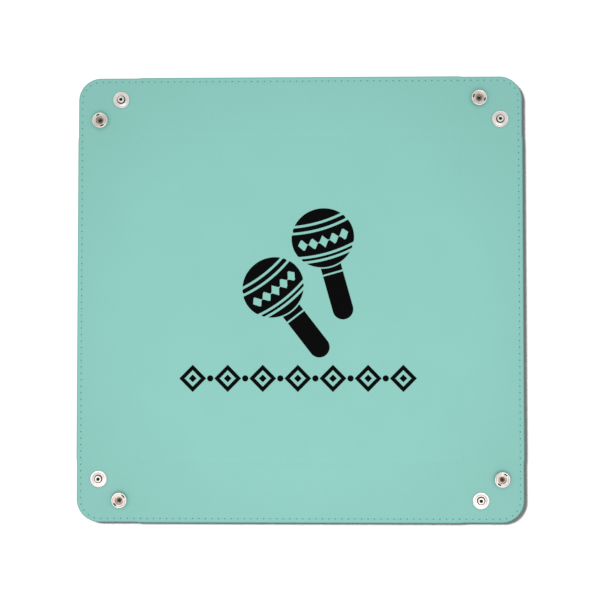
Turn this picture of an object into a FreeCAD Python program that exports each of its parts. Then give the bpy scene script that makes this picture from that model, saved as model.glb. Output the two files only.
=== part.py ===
import FreeCAD, Part

import math
import os

import Sketcher
from FreeCAD import Placement, Rotation, Vector

# Folding snap-corner dice tray, laid flat.  A square base and four side walls, each a greyboard
# panel between two layers of leatherette, meet at four soft corners.  Each corner is two
# triangular flaps: a stud flap hinged to the wall on its one side, and a socket flap hinged to
# the stud flap along the corner's diagonal.  When the walls stand up, the flaps close face to
# face outside the corner and the stud snaps into the socket.
#
# Frame: millimetres, +Z up, origin at the centre of the underside.  Every crease axis but the
# diagonal ones lies in the top face; a diagonal axis lies half a snap's stack above it, so that
# the closed flaps stand parallel with the snap between them.
#
# Everything is drawn once, for the front side (towards -Y) and its stud corner (+X, -Y), and
# repeated a quarter turn at a time.

SIZES = {
    # overall
    "tray_width": 228.6,
    "wall_height": 30.8,
    "corner_radius": 11.8,
    # layers
    "lining_thickness": 0.8,
    "board_thickness": 1.6,
    "backing_thickness": 0.8,
    # creases
    "fold_gap": 0.3,
    "crease_clearance": 0.2,
    "board_crease_margin": 2.6,
    "board_edge_margin": 5.2,
    "board_corner_radius": 2.0,
    "rim_width": 3.9,
    "backing_chamfer": 1.2,
    # stitching
    "stitch_inset": 2.1,
    "stitch_pitch": 3.3,
    "stitch_length": 2.3,
    "thread_diameter": 0.5,
    # snap places, from the tray's two edges to the snap's centre, as shares of a wall's height
    "snap_near_share": 0.37,
    "snap_far_share": 0.72,
    # cap and its tubular post
    "cap_radius": 5.0,
    "cap_height": 1.45,
    "cap_rim_height": 0.4,
    "cap_wall": 0.35,
    "post_radius": 1.0,
    "post_bore_radius": 0.62,
    "flare_radius": 1.4,
    "flare_height": 0.3,
    "seat_thickness": 0.4,
    # stud
    "stud_flange_radius": 4.3,
    "stud_hub_radius": 2.8,
    "stud_hub_height": 0.65,
    "stud_neck_radius": 1.5,
    "stud_head_radius": 1.75,
    "stud_height": 2.4,
    "stud_head_length": 0.7,
    "stud_mouth_radius": 1.1,
    "stud_wall": 0.3,
    # socket
    "socket_radius": 4.0,
    "socket_height": 2.6,
    "socket_wall": 0.4,
    "socket_rim_width": 0.7,
    "socket_lip_drop": 0.35,
    "socket_mouth_clearance": 0.3,
    "spring_diameter": 0.4,
    "spring_clearance": 0.15,
    "notch_width": 1.5,
    "notch_reach": 1.35,
    # fits and the pressed metal's soft edges
    "mate_clearance": 0.15,
    "play": 0.1,
    "edge_break": 0.3,
    "draft": 0.2,
    "stud_flare": 0.25,
}

# Places worked out from the sizes, as formulas of the sheet.
PLACES = {
    "edge": "sizes.tray_width / 2",
    "crease": "edge - sizes.wall_height",
    "top": "sizes.lining_thickness + sizes.board_thickness + sizes.backing_thickness",
    "lining_floor": "sizes.board_thickness + sizes.backing_thickness",
    "flap_floor": "sizes.board_thickness",
    # the snap's stack between the closed flaps, and what it shifts the walls' end creases by
    "snap_gap": "sizes.socket_height + sizes.seat_thickness + sizes.mate_clearance",
    "end_crease": "crease - snap_gap / sqrt(2)",
    # a flap leans out by 45 degrees from its wall, and each side of the crease gives way to half
    "relief": "(sizes.lining_thickness + sizes.backing_thickness) * tan(22.5) + sizes.crease_clearance",
    "base_half": "crease - sizes.fold_gap",
    "wall_inner": "crease + sizes.fold_gap",
    "wall_end": "end_crease - relief",
    "slab_outer": "edge - sizes.rim_width",
    "base_board_half": "crease - sizes.board_crease_margin",
    "wall_board_inner": "crease + sizes.board_crease_margin",
    "wall_board_outer": "edge - sizes.board_edge_margin",
    "wall_board_end": "end_crease - sizes.board_crease_margin",
    # a flap's outline
    "flap_start": "end_crease + relief",
    "round_centre": "edge - sizes.corner_radius",
    "round_reach": "sqrt(sizes.corner_radius ^ 2 - sizes.fold_gap ^ 2)",
    "tip_near": "round_centre + (round_reach - sizes.fold_gap) / sqrt(2)",
    "tip_far": "round_centre + (round_reach + sizes.fold_gap) / sqrt(2)",
    "flap_root": "wall_inner - sizes.fold_gap * sqrt(2)",
    # the snaps
    "snap_inner": "edge - sizes.snap_far_share * sizes.wall_height",
    "snap_outer": "edge - sizes.snap_near_share * sizes.wall_height",
    "snap_hole": "sizes.post_radius + sizes.play",
    # cap profile, from the backing's underside
    "skins": "sizes.lining_thickness + sizes.backing_thickness",
    "cap_inner_radius": "sizes.cap_radius - sizes.cap_wall",
    "cap_inner_height": "sizes.cap_height - sizes.cap_wall",
    "bore_floor": "sizes.cap_height - 2 * sizes.cap_wall",
    "flare_floor": "skins + sizes.seat_thickness",
    "flare_top": "flare_floor + sizes.flare_height",
    # stud profile, from the lining's top
    "flange_edge": "sizes.stud_flange_radius - sizes.seat_thickness / 2",
    "flange_mid": "sizes.seat_thickness / 2",
    "stud_hub_foot": "sizes.stud_hub_radius + sizes.draft",
    "stud_cavity_radius": "sizes.flare_radius + sizes.play",
    "stud_cavity_top": "sizes.seat_thickness + sizes.flare_height + sizes.play",
    "stud_shoulder_radius": "sizes.stud_neck_radius + sizes.stud_flare",
    "stud_neck_foot": "sizes.stud_hub_height + sizes.stud_flare",
    "stud_bulge_foot": "sizes.stud_height - sizes.stud_head_length",
    "stud_bulge_top": "sizes.stud_height - sizes.edge_break",
    "stud_neck_top": "stud_bulge_foot - sizes.stud_flare",
    "stud_crown_radius": "sizes.stud_head_radius - sizes.edge_break",
    "stud_throat_radius": "sizes.stud_neck_radius - sizes.stud_wall",
    "stud_room_radius": "sizes.stud_head_radius - sizes.stud_wall",
    # socket profile, from the lining's top
    "socket_edge": "sizes.socket_radius - sizes.edge_break",
    "socket_side_top": "sizes.socket_height - sizes.edge_break",
    "socket_rim_inner": "sizes.socket_radius - sizes.socket_rim_width",
    "socket_lip_outer": "socket_rim_inner - sizes.draft",
    "socket_lip_top": "sizes.socket_height - sizes.socket_lip_drop",
    "socket_lip_floor": "socket_lip_top - sizes.socket_wall",
    "socket_mouth": "sizes.stud_head_radius + sizes.socket_mouth_clearance",
    "socket_mouth_edge": "socket_mouth + sizes.draft",
    "socket_mouth_top": "socket_lip_top - sizes.draft / 2",
    "socket_room": "sizes.socket_radius - sizes.socket_wall",
    # springs: two straight wires, one each side of the stud's head
    "spring_offset": "sizes.stud_head_radius + sizes.spring_clearance + sizes.spring_diameter / 2",
    "spring_outer": "spring_offset + sizes.spring_diameter / 2",
    "spring_half_length": "sqrt((socket_room - sizes.play) ^ 2 - spring_outer ^ 2)",
    "spring_level": "socket_lip_floor - (sizes.spring_diameter + sizes.play) / 2",
    "notch_inner": "sizes.socket_radius - sizes.notch_reach",
    "notch_outer": "sizes.socket_radius + sizes.play",
    "notch_half": "sizes.notch_width / 2",
}

SIDES = ("front", "right", "back", "left")
# A side's stud corner, and how far the socket there happens to be turned about its own axis.
CORNERS = ("front_right", "back_right", "back_left", "front_left")
SOCKET_TURN = (57, 72, 112, -45)


# ---------------------------------------------------------------- document helpers


def new_document():
    doc = FreeCAD.newDocument("dice_tray")
    sizes = doc.addObject("Spreadsheet::Sheet", "sizes")
    for row, (name, size) in enumerate(SIZES.items(), start=1):
        sizes.set(f"A{row}", name)
        sizes.set(f"B{row}", str(size))
        sizes.setAlias(f"B{row}", name)
    doc.recompute()
    places = doc.addObject("Spreadsheet::Sheet", "places")
    for row, (name, formula) in enumerate(PLACES.items(), start=1):
        places.set(f"A{row}", name)
        places.setAlias(f"B{row}", name)
        places.set(f"B{row}", "=" + formula)
    doc.recompute()
    return doc


def size(doc, name):
    """A size or a place by its alias, as a number; a leading minus negates it."""
    bare = name.lstrip("-")
    sheet = doc.sizes if bare in SIZES else doc.places
    number = float(getattr(sheet, bare))
    return -number if name.startswith("-") else number


def formula(name):
    """The expression that binds a property to an alias; a leading minus negates it."""
    bare = name.lstrip("-")
    sheet = "sizes" if bare in SIZES else "places"
    return ("-" if name.startswith("-") else "") + f"{sheet}.{bare}"


def negate(name):
    return name[1:] if name.startswith("-") else "-" + name


def turned(quarter, x, y):
    """The aliases of (x, y) after quarter turns about +Z."""
    for _ in range(quarter):
        x, y = negate(y), x
    return x, y


def new_body(doc, label, quarter=0):
    body = doc.addObject("PartDesign::Body", label)
    body.Label = label
    body.Placement = Placement(Vector(), Rotation(Vector(0, 0, 1), 90 * quarter))
    return body


def plane(body, role):
    return next(f for f in body.Origin.OriginFeatures if f.Role == role)


def new_sketch(body, name, role="XY_Plane", level=None):
    sketch = body.newObject("Sketcher::SketchObject", name)
    sketch.AttachmentSupport = [(plane(body, role), "")]
    sketch.MapMode = "FlatFace"
    if level is not None:
        sketch.setExpression(".AttachmentOffset.Base.z", formula(level))
    return sketch


def fix_point(sketch, geometry, end, x, y, doc):
    """Binds a point of the sketch to two aliases: "0" holds it to an axis, None leaves it free."""
    for kind, name in (("DistanceX", x), ("DistanceY", y)):
        if name is None:
            continue
        if name == "0":
            axis = -2 if kind == "DistanceX" else -1
            sketch.addConstraint(Sketcher.Constraint("PointOnObject", geometry, end, axis))
            continue
        row = sketch.addConstraint(
            Sketcher.Constraint(kind, -1, 1, geometry, end, size(doc, name))
        )
        sketch.setExpression(f"Constraints[{row}]", formula(name))


def draw_outline(doc, sketch, points):
    """A closed outline.  A point is (x, y), or (x, y, cx, cy) where an arc about (cx, cy) leads
    counter-clockwise from it to the next point."""

    def number(name):
        return 0.0 if name == "0" else size(doc, name)

    spots = [Vector(number(p[0]), number(p[1]), 0) for p in points]
    rows = []
    for i, point in enumerate(points):
        a, b = spots[i], spots[(i + 1) % len(spots)]
        if len(point) == 2:
            rows.append(sketch.addGeometry(Part.LineSegment(a, b), False))
            continue
        centre = Vector(number(point[2]), number(point[3]), 0)
        start = math.atan2(a.y - centre.y, a.x - centre.x)
        stop = math.atan2(b.y - centre.y, b.x - centre.x)
        circle = Part.Circle(centre, Vector(0, 0, 1), (a - centre).Length)
        rows.append(sketch.addGeometry(Part.ArcOfCircle(circle, start, stop), False))
    for i, row in enumerate(rows):
        following = rows[(i + 1) % len(rows)]
        sketch.addConstraint(Sketcher.Constraint("Coincident", row, 2, following, 1))
    for i, (row, point) in enumerate(zip(rows, points)):
        # an arc's centre and start already hold one coordinate of its end
        ends_arc = len(points[i - 1]) == 4
        fix_point(sketch, row, 1, None if ends_arc else point[0], point[1], doc)
        if len(point) == 4:
            fix_point(sketch, row, 3, point[2], point[3], doc)


def rectangle(x0, y0, x1, y1):
    return [(x0, y0), (x1, y0), (x1, y1), (x0, y1)]


def draw_circle(doc, sketch, x, y, radius):
    centre = Vector(size(doc, x), size(doc, y), 0)
    row = sketch.addGeometry(Part.Circle(centre, Vector(0, 0, 1), size(doc, radius)), False)
    fix_point(sketch, row, 3, x, y, doc)
    held = sketch.addConstraint(Sketcher.Constraint("Radius", row, size(doc, radius)))
    sketch.setExpression(f"Constraints[{held}]", formula(radius))


def pad(body, sketch, height):
    feature = body.newObject("PartDesign::Pad", "Pad")
    feature.Profile = sketch
    feature.setExpression("Length", height)
    return feature


def pocket_down(body, sketch, depth):
    feature = body.newObject("PartDesign::Pocket", "Pocket")
    feature.Profile = sketch
    feature.setExpression("Length", depth)
    return feature


def edges_where(shape, wanted):
    return [f"Edge{i}" for i, edge in enumerate(shape.Edges, start=1) if wanted(edge)]


def is_upright(edge):
    a, b = (v.Point for v in edge.Vertexes[:2])
    return abs(a.x - b.x) + abs(a.y - b.y) < 1e-6


def is_at(level):
    return lambda edge: all(abs(v.Point.z - level) < 1e-6 for v in edge.Vertexes)


def round_edges(doc, body, base, wanted, radius, kind="PartDesign::Fillet"):
    doc.recompute()
    feature = body.newObject(kind, kind.split("::")[1])
    feature.Base = (base, edges_where(base.Shape, wanted))
    feature.setExpression("Radius" if kind.endswith("Fillet") else "Size", formula(radius))
    return feature


# ---------------------------------------------------------------- panels


def make_board(doc, label, quarter, outline):
    """A stiffener: greyboard with slightly rounded corners."""
    body = new_body(doc, label, quarter)
    sketch = new_sketch(body, "outline", level="backing_thickness")
    draw_outline(doc, sketch, outline)
    slab = pad(body, sketch, "sizes.board_thickness")
    round_edges(doc, body, slab, is_upright, "board_corner_radius")
    return body


def make_lining(doc, label, quarter, outline, hole=None):
    """The upper leatherette of one panel, with the post's hole in a flap."""
    body = new_body(doc, label, quarter)
    sketch = new_sketch(body, "outline", level="lining_floor")
    draw_outline(doc, sketch, outline)
    if hole:
        draw_circle(doc, sketch, hole[0], hole[1], "snap_hole")
    pad(body, sketch, "sizes.lining_thickness")
    return body


def make_pan(doc, label, quarter, rim, slab, board):
    """The lower leatherette of a stiffened panel: a pan that holds the board, sloping up at its
    sides to a thin rim where the two layers are sewn."""
    body = new_body(doc, label, quarter)
    slab_sketch = new_sketch(body, "slab_outline")
    draw_outline(doc, slab_sketch, slab)
    feature = pad(body, slab_sketch, formula("lining_floor"))
    feature = round_edges(
        doc, body, feature, is_at(0), "backing_chamfer", "PartDesign::Chamfer"
    )
    if rim:
        rim_sketch = new_sketch(body, "rim_outline", level="flap_floor")
        draw_outline(doc, rim_sketch, rim)
        feature = pad(body, rim_sketch, "sizes.backing_thickness")
    board_sketch = new_sketch(body, "board_outline", level="lining_floor")
    draw_outline(doc, board_sketch, board)
    pocket = pocket_down(body, board_sketch, "sizes.board_thickness")
    floor = size(doc, "backing_thickness")

    def is_pocket_corner(edge):
        return is_upright(edge) and min(v.Point.z for v in edge.Vertexes) > floor - 1e-6 and (
            max(v.Point.z for v in edge.Vertexes) - min(v.Point.z for v in edge.Vertexes)
            > size(doc, "board_thickness") - 1e-6
        )

    round_edges(doc, body, pocket, is_pocket_corner, "board_corner_radius")
    return body


def make_flap_backing(doc, label, quarter, outline, hole):
    """The lower leatherette of a corner flap, which has no board and lies against the lining."""
    body = new_body(doc, label, quarter)
    sketch = new_sketch(body, "outline", level="flap_floor")
    draw_outline(doc, sketch, outline)
    draw_circle(doc, sketch, hole[0], hole[1], "snap_hole")
    pad(body, sketch, "sizes.backing_thickness")
    return body


# ---------------------------------------------------------------- snap hardware


def make_turned(doc, label, quarter, x, y, level, profile, turn=0):
    """A piece turned about its own axis, standing at (x, y) on a level.  Its profile is
    (radius, height) from there."""
    body = new_body(doc, label)
    body.Placement = Placement(Vector(), Rotation(Vector(0, 0, 1), turn + 90 * quarter))
    x, y = turned(quarter, x, y)
    body.setExpression(".Placement.Base.x", formula(x))
    body.setExpression(".Placement.Base.y", formula(y))
    body.setExpression(".Placement.Base.z", formula(level))
    sketch = new_sketch(body, "profile", "XZ_Plane")
    draw_outline(doc, sketch, profile)
    turning = body.newObject("PartDesign::Revolution", "Revolution")
    turning.Profile = sketch
    turning.ReferenceAxis = (sketch, ["V_Axis"])
    turning.Angle = 360
    return body


# The dome hangs below the backing, and its post rises through both layers and is flared over
# the seat of the stud or socket.
CAP_PROFILE = [
    ("0", "-cap_height"),
    ("cap_radius", "-cap_rim_height"),
    ("cap_radius", "0"),
    ("cap_inner_radius", "0"),
    ("cap_inner_radius", "-cap_rim_height"),
    ("post_radius", "-cap_inner_height"),
    ("post_radius", "flare_floor"),
    ("flare_radius", "flare_floor"),
    ("flare_radius", "flare_top"),
    ("post_bore_radius", "flare_top"),
    ("post_bore_radius", "-bore_floor"),
    ("0", "-bore_floor"),
]

STUD_PROFILE = [
    ("snap_hole", "0"),
    ("flange_edge", "0"),
    ("stud_flange_radius", "flange_mid"),
    ("flange_edge", "seat_thickness"),
    ("stud_hub_foot", "seat_thickness"),
    ("stud_hub_radius", "stud_hub_height"),
    ("stud_shoulder_radius", "stud_hub_height"),
    ("stud_neck_radius", "stud_neck_foot"),
    ("stud_neck_radius", "stud_neck_top"),
    ("stud_head_radius", "stud_bulge_foot"),
    ("stud_head_radius", "stud_bulge_top"),
    ("stud_crown_radius", "stud_height"),
    ("stud_mouth_radius", "stud_height"),
    ("stud_mouth_radius", "stud_bulge_top"),
    ("stud_room_radius", "stud_bulge_top"),
    ("stud_room_radius", "stud_bulge_foot"),
    ("stud_throat_radius", "stud_neck_top"),
    ("stud_throat_radius", "stud_neck_foot"),
    ("stud_cavity_radius", "stud_cavity_top"),
    ("stud_cavity_radius", "seat_thickness"),
    ("snap_hole", "seat_thickness"),
]

SOCKET_PROFILE = [
    ("snap_hole", "0"),
    ("socket_edge", "0"),
    ("socket_radius", "edge_break"),
    ("socket_radius", "socket_side_top"),
    ("socket_edge", "socket_height"),
    ("socket_rim_inner", "socket_height"),
    ("socket_lip_outer", "socket_lip_top"),
    ("socket_mouth_edge", "socket_lip_top"),
    ("socket_mouth", "socket_mouth_top"),
    ("socket_mouth", "socket_lip_floor"),
    ("socket_room", "socket_lip_floor"),
    ("socket_room", "seat_thickness"),
    ("snap_hole", "seat_thickness"),
]


def make_spring_wire(doc, label, x, y, heading, side):
    """One of the two straight spring wires inside a socket, beside the stud's way in."""
    wire = doc.addObject("Part::Cylinder", label)
    wire.setExpression("Radius", "sizes.spring_diameter / 2")
    wire.setExpression("Height", "2 * places.spring_half_length")
    lying = Rotation(Vector(0, 1, 0), 90)
    wire.Placement = Placement(Vector(), Rotation(Vector(0, 0, 1), heading).multiply(lying))
    wire.setExpression(
        ".Placement.Base.x",
        f"{formula(x)} - cos({heading}) * places.spring_half_length"
        f" - sin({heading}) * {side} * places.spring_offset",
    )
    wire.setExpression(
        ".Placement.Base.y",
        f"{formula(y)} - sin({heading}) * places.spring_half_length"
        f" + cos({heading}) * {side} * places.spring_offset",
    )
    wire.setExpression(".Placement.Base.z", "places.top + places.spring_level")
    return wire


def make_socket(doc, corner, quarter, x, y, turn):
    """The socket's shell with a notch at each end of its spring cavity, and its two wires."""
    shell = make_turned(
        doc, f"{corner}_socket_shell", quarter, x, y, "top", SOCKET_PROFILE, turn
    )
    for near, far in (("notch_inner", "notch_outer"), ("-notch_outer", "-notch_inner")):
        sketch = new_sketch(shell, "notch", level="socket_height")
        draw_outline(doc, sketch, rectangle(near, "-notch_half", far, "notch_half"))
        pocket_down(shell, sketch, "sizes.socket_height - places.spring_level")
    place = turned(quarter, x, y)
    wires = [
        make_spring_wire(doc, f"{corner}_spring_{n}", *place, turn + 90 * quarter, side)
        for n, side in ((1, 1), (2, -1))
    ]
    group = doc.addObject("Part::Compound", f"{corner}_socket")
    group.Links = [shell, *wires]
    group.Label = f"{corner}_socket"
    return group


# ---------------------------------------------------------------- stitching


def stitch_bars(doc, spots, levels):
    """Stitches as flat bars: each spot is a centre and a heading, each level a bar's underside."""
    length = size(doc, "stitch_length")
    width = size(doc, "thread_diameter")
    bars = []
    for x, y, heading in spots:
        for level in levels:
            bar = Part.makeBox(length, width, width / 2, Vector(-length / 2, -width / 2, 0))
            bar.Placement = Placement(Vector(x, y, level), Rotation(Vector(0, 0, 1), heading))
            bars.append(bar)
    return bars


def spread_evenly(start, stop, pitch):
    """Centres a pitch apart, or a little less, that fill a stretch."""
    count = max(1, round((stop - start) / pitch))
    return [start + (stop - start) * (i + 0.5) / count for i in range(count)]


def make_thread(doc, label, quarter, spots):
    """The stitches of one panel, over the lining and under the backing's rim."""
    levels = (size(doc, "top"), size(doc, "flap_floor") - size(doc, "thread_diameter") / 2)
    thread = doc.addObject("Part::Feature", label)
    thread.Shape = Part.makeCompound(stitch_bars(doc, spots, levels))
    thread.Placement = Placement(Vector(), Rotation(Vector(0, 0, 1), 90 * quarter))
    return thread


def wall_stitches(doc):
    row = -size(doc, "edge") + size(doc, "stitch_inset")
    end = size(doc, "wall_end")
    return [(x, row, 0) for x in spread_evenly(-end, end, size(doc, "stitch_pitch"))]


def stud_flap_stitches(doc):
    """Along the straight edge, then round half of the tray's corner."""
    pitch = size(doc, "stitch_pitch")
    centre = size(doc, "round_centre")
    radius = size(doc, "corner_radius") - size(doc, "stitch_inset")
    row = -centre - radius
    spots = [(x, row, 0) for x in spread_evenly(size(doc, "flap_start"), centre, pitch)]
    for arc in spread_evenly(0, radius * math.pi / 4, pitch):
        angle = arc / radius - math.pi / 2
        x = centre + radius * math.cos(angle)
        y = -centre + radius * math.sin(angle)
        spots.append((x, y, math.degrees(angle) + 90))
    return spots


def flip_stitches(spots):
    return [(-y, -x, -90 - heading) for x, y, heading in spots]


# ---------------------------------------------------------------- the tray


BASE_OUTLINE = rectangle("-base_half", "-base_half", "base_half", "base_half")
BASE_BOARD = rectangle(
    "-base_board_half", "-base_board_half", "base_board_half", "base_board_half"
)
WALL_OUTLINE = rectangle("-wall_end", "-edge", "wall_end", "-wall_inner")
WALL_SLAB = rectangle("-wall_end", "-slab_outer", "wall_end", "-wall_inner")
WALL_BOARD = rectangle(
    "-wall_board_end", "-wall_board_outer", "wall_board_end", "-wall_board_inner"
)
STUD_FLAP = [
    ("flap_start", "-wall_inner"),
    ("flap_start", "-edge"),
    ("round_centre", "-edge", "round_centre", "-round_centre"),
    ("tip_near", "-tip_far"),
    ("flap_root", "-wall_inner"),
]
# The mirror image runs clockwise, so it is listed backwards, with its arc at the other end.
SOCKET_FLAP = [
    ("wall_inner", "-flap_root"),
    ("tip_far", "-tip_near", "round_centre", "-round_centre"),
    ("edge", "-round_centre"),
    ("edge", "-flap_start"),
    ("wall_inner", "-flap_start"),
]


def build(doc):
    nodes = [
        make_board(doc, "base_board", 0, BASE_BOARD),
        make_lining(doc, "base_lining", 0, BASE_OUTLINE),
        make_pan(doc, "base_backing", 0, None, BASE_OUTLINE, BASE_BOARD),
    ]
    stud_hole = ("snap_inner", "-snap_outer")
    socket_hole = ("snap_outer", "-snap_inner")
    stud_spots = stud_flap_stitches(doc)
    for quarter, (side, corner) in enumerate(zip(SIDES, CORNERS)):
        wall = f"{side}_wall"
        stud_flap = f"{corner}_stud_flap"
        socket_flap = f"{corner}_socket_flap"
        nodes += [
            make_board(doc, f"{wall}_board", quarter, WALL_BOARD),
            make_lining(doc, f"{wall}_lining", quarter, WALL_OUTLINE),
            make_pan(doc, f"{wall}_backing", quarter, WALL_OUTLINE, WALL_SLAB, WALL_BOARD),
            make_thread(doc, f"{wall}_stitching", quarter, wall_stitches(doc)),
            make_lining(doc, f"{stud_flap}_lining", quarter, STUD_FLAP, stud_hole),
            make_flap_backing(doc, f"{stud_flap}_backing", quarter, STUD_FLAP, stud_hole),
            make_thread(doc, f"{stud_flap}_stitching", quarter, stud_spots),
            make_lining(doc, f"{socket_flap}_lining", quarter, SOCKET_FLAP, socket_hole),
            make_flap_backing(doc, f"{socket_flap}_backing", quarter, SOCKET_FLAP, socket_hole),
            make_thread(
                doc, f"{socket_flap}_stitching", quarter, flip_stitches(stud_spots)
            ),
            make_turned(
                doc, f"{corner}_stud_cap", quarter, *stud_hole, "flap_floor", CAP_PROFILE
            ),
            make_turned(doc, f"{corner}_stud", quarter, *stud_hole, "top", STUD_PROFILE),
            make_turned(
                doc, f"{corner}_socket_cap", quarter, *socket_hole, "flap_floor", CAP_PROFILE
            ),
            make_socket(doc, corner, quarter, *socket_hole, SOCKET_TURN[quarter]),
        ]
    doc.recompute()
    return nodes


def check(doc, nodes):
    for item in doc.Objects:
        if {"Invalid", "Error"} & set(item.State):
            raise RuntimeError(f"{item.Label} failed: {item.State}")
    for node in nodes:
        if node.Shape.isNull() or not node.Shape.isValid() or not node.Shape.Solids:
            raise RuntimeError(f"{node.Label} has no valid solid")


def main():
    doc = new_document()
    nodes = build(doc)
    check(doc, nodes)
    os.makedirs("parts", exist_ok=True)
    for node in nodes:
        node.Shape.exportStep(f"parts/{node.Label}.step")
    print(f"{len(nodes)} nodes written")
    return doc, nodes


main()
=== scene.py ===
import math

import bpy
import numpy as np
from mathutils import Matrix, Vector, noise


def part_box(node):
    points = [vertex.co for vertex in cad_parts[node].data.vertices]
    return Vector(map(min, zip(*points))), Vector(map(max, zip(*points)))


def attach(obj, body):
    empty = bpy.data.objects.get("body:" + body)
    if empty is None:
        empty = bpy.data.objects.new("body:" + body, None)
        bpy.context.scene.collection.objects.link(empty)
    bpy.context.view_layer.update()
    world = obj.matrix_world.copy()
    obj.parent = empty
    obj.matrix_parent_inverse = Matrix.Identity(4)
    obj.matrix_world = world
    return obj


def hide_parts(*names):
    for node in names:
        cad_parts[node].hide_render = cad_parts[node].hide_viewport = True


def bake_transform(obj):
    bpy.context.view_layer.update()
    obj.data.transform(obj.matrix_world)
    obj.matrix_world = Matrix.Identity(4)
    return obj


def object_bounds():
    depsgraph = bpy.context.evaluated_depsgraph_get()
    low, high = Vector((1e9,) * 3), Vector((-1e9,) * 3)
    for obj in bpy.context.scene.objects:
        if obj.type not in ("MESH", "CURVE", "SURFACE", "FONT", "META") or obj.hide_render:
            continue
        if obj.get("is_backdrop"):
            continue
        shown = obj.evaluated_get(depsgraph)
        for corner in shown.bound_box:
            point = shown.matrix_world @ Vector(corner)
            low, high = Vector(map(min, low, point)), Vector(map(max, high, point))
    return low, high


# A flat dice tray of teal leatherette over board, seen from straight above.
#
# Lengths are in millimetres here and become metres where a mesh is made.  A skin is a closed
# sheet made on a plan grid: each grid point has an x, a y and its distance to the tray's edge,
# and two height functions give the sheet's faces there.

MM = 0.001
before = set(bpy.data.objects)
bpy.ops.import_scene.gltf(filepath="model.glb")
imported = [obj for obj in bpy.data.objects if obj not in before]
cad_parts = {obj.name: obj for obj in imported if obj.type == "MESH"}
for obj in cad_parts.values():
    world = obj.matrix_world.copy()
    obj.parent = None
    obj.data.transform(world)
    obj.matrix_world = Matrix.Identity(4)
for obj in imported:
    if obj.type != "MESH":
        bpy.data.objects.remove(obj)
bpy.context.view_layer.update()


def box_mm(node):
    low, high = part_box(node)
    return np.array(low) / MM, np.array(high) / MM


# ---------------------------------------------------------------- sizes read from the CAD

WALL_LOW, WALL_HIGH = box_mm("front_wall_lining")
_, BASE_HIGH = box_mm("base_lining")
FLAP_LOW, _ = box_mm("front_right_stud_flap_lining")
BASE_BOARD_LOW, BASE_BOARD_HIGH = box_mm("base_board")

EDGE = -WALL_LOW[1]
TOP = WALL_HIGH[2]
CREASE = (BASE_HIGH[1] - WALL_HIGH[1]) / 2
END_CREASE = (WALL_HIGH[0] + FLAP_LOW[0]) / 2
SKIN = WALL_HIGH[2] - WALL_LOW[2]
RIM_FLOOR = TOP - 2 * SKIN

SIDES = ("front", "right", "back", "left")
CORNERS = ("front_right", "back_right", "back_left", "front_left")

# ---------------------------------------------------------------- sizes of the finer shapes

CORNER_RADIUS = 11.8
FLAP_SHRINK = 0.25
SHRINK_RAMP = 3.0
INNER_EDGE = 75.5
FOLD_ZONE = 3.0
DIAGONAL_ZONE = 3.2
CORNER_MIDDLE = 95.0
STITCH_INSET = 2.1
STITCH_PITCH = 3.3
STITCH_STEPS = 8
HEM = 6.0
CREASE_DEPTH = 0.10
CREASE_WIDTH = 1.7
GROOVE_DEPTH = 0.06
GROOVE_WIDTH = 0.5
HOLE_DEPTH = 0.12
HOLE_WIDTH = 0.45
EDGE_ROUND = 0.3
WAVE = 0.05
WAVE_LENGTH = 38.0
WAVE_SEED = 3.7
END_CREASE_SHARE = 0.6
SWELL = 0.10
SWELL_RADIUS = 5.6
SWELL_WIDTH = 0.9
SINK = 0.10
SINK_RADIUS = 5.0
SINK_WIDTH = 1.2
# The skins' hidden faces lie this much below the CAD's.
HIDDEN_DROP = 0.02
PAN_START = 0.2
PAN_WIDTH = 1.9
# A distance to the edge that stands for being well inside it.
DEEP = 50.0


def smooth(t):
    t = np.clip(t, 0, 1)
    return t * t * (3 - 2 * t)


def turn(quarter, points):
    """Points after quarter turns about +Z."""
    points = np.array(points, float)
    for _ in range(quarter):
        points[..., 0], points[..., 1] = -points[..., 1], points[..., 0].copy()
    return points


# ---------------------------------------------------------------- stitch places


def corner_path(inset):
    """The front-right corner's outline at an inset: straight, arc, straight, from one end crease
    to the other."""
    straight = EDGE - CORNER_RADIUS - END_CREASE
    radius = CORNER_RADIUS - inset
    arc = radius * math.pi / 2
    centre = EDGE - CORNER_RADIUS

    def at(s):
        if s <= straight:
            return (END_CREASE + s, -EDGE + inset), (0.0, -1.0)
        if s <= straight + arc:
            angle = (s - straight) / radius - math.pi / 2
            out = (math.cos(angle), math.sin(angle))
            return (centre + radius * out[0], -centre + radius * out[1]), out
        return (EDGE - inset, -centre + s - straight - arc), (1.0, 0.0)

    return at, 2 * straight + arc


def wall_holes():
    count = round(2 * END_CREASE / STITCH_PITCH)
    pitch = 2 * END_CREASE / count
    return [(-END_CREASE + pitch * i, -EDGE + STITCH_INSET) for i in range(count + 1)]


def corner_holes():
    at, length = corner_path(STITCH_INSET)
    count = round(length / STITCH_PITCH)
    return [at(length * i / count)[0] for i in range(count + 1)]


HOLES = np.concatenate([turn(q, wall_holes() + corner_holes()[1:-1]) for q in range(4)])
SNAPS = {}
for corner in CORNERS:
    for part in ("stud", "socket"):
        low, high = box_mm(f"{corner}_{part}")
        SNAPS[corner, part] = (low + high)[:2] / 2


# ---------------------------------------------------------------- surfaces


def wave(x, y):
    """A slow unevenness of the skins."""
    flat = np.stack([np.ravel(x), np.ravel(y)], axis=1) / WAVE_LENGTH
    heights = [noise.noise(Vector((u, v, WAVE_SEED))) for u, v in flat]
    return WAVE * np.array(heights).reshape(np.shape(x))


def near_holes(x, y):
    """How deep each point is in a needle hole, from 0 to 1."""
    depth = np.zeros(np.shape(x))
    low = (np.min(x) - 2, np.min(y) - 2)
    high = (np.max(x) + 2, np.max(y) + 2)
    for hx, hy in HOLES:
        if low[0] < hx < high[0] and low[1] < hy < high[1]:
            depth += np.exp(-((x - hx) ** 2 + (y - hy) ** 2) / HOLE_WIDTH**2)
    return depth


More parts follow.
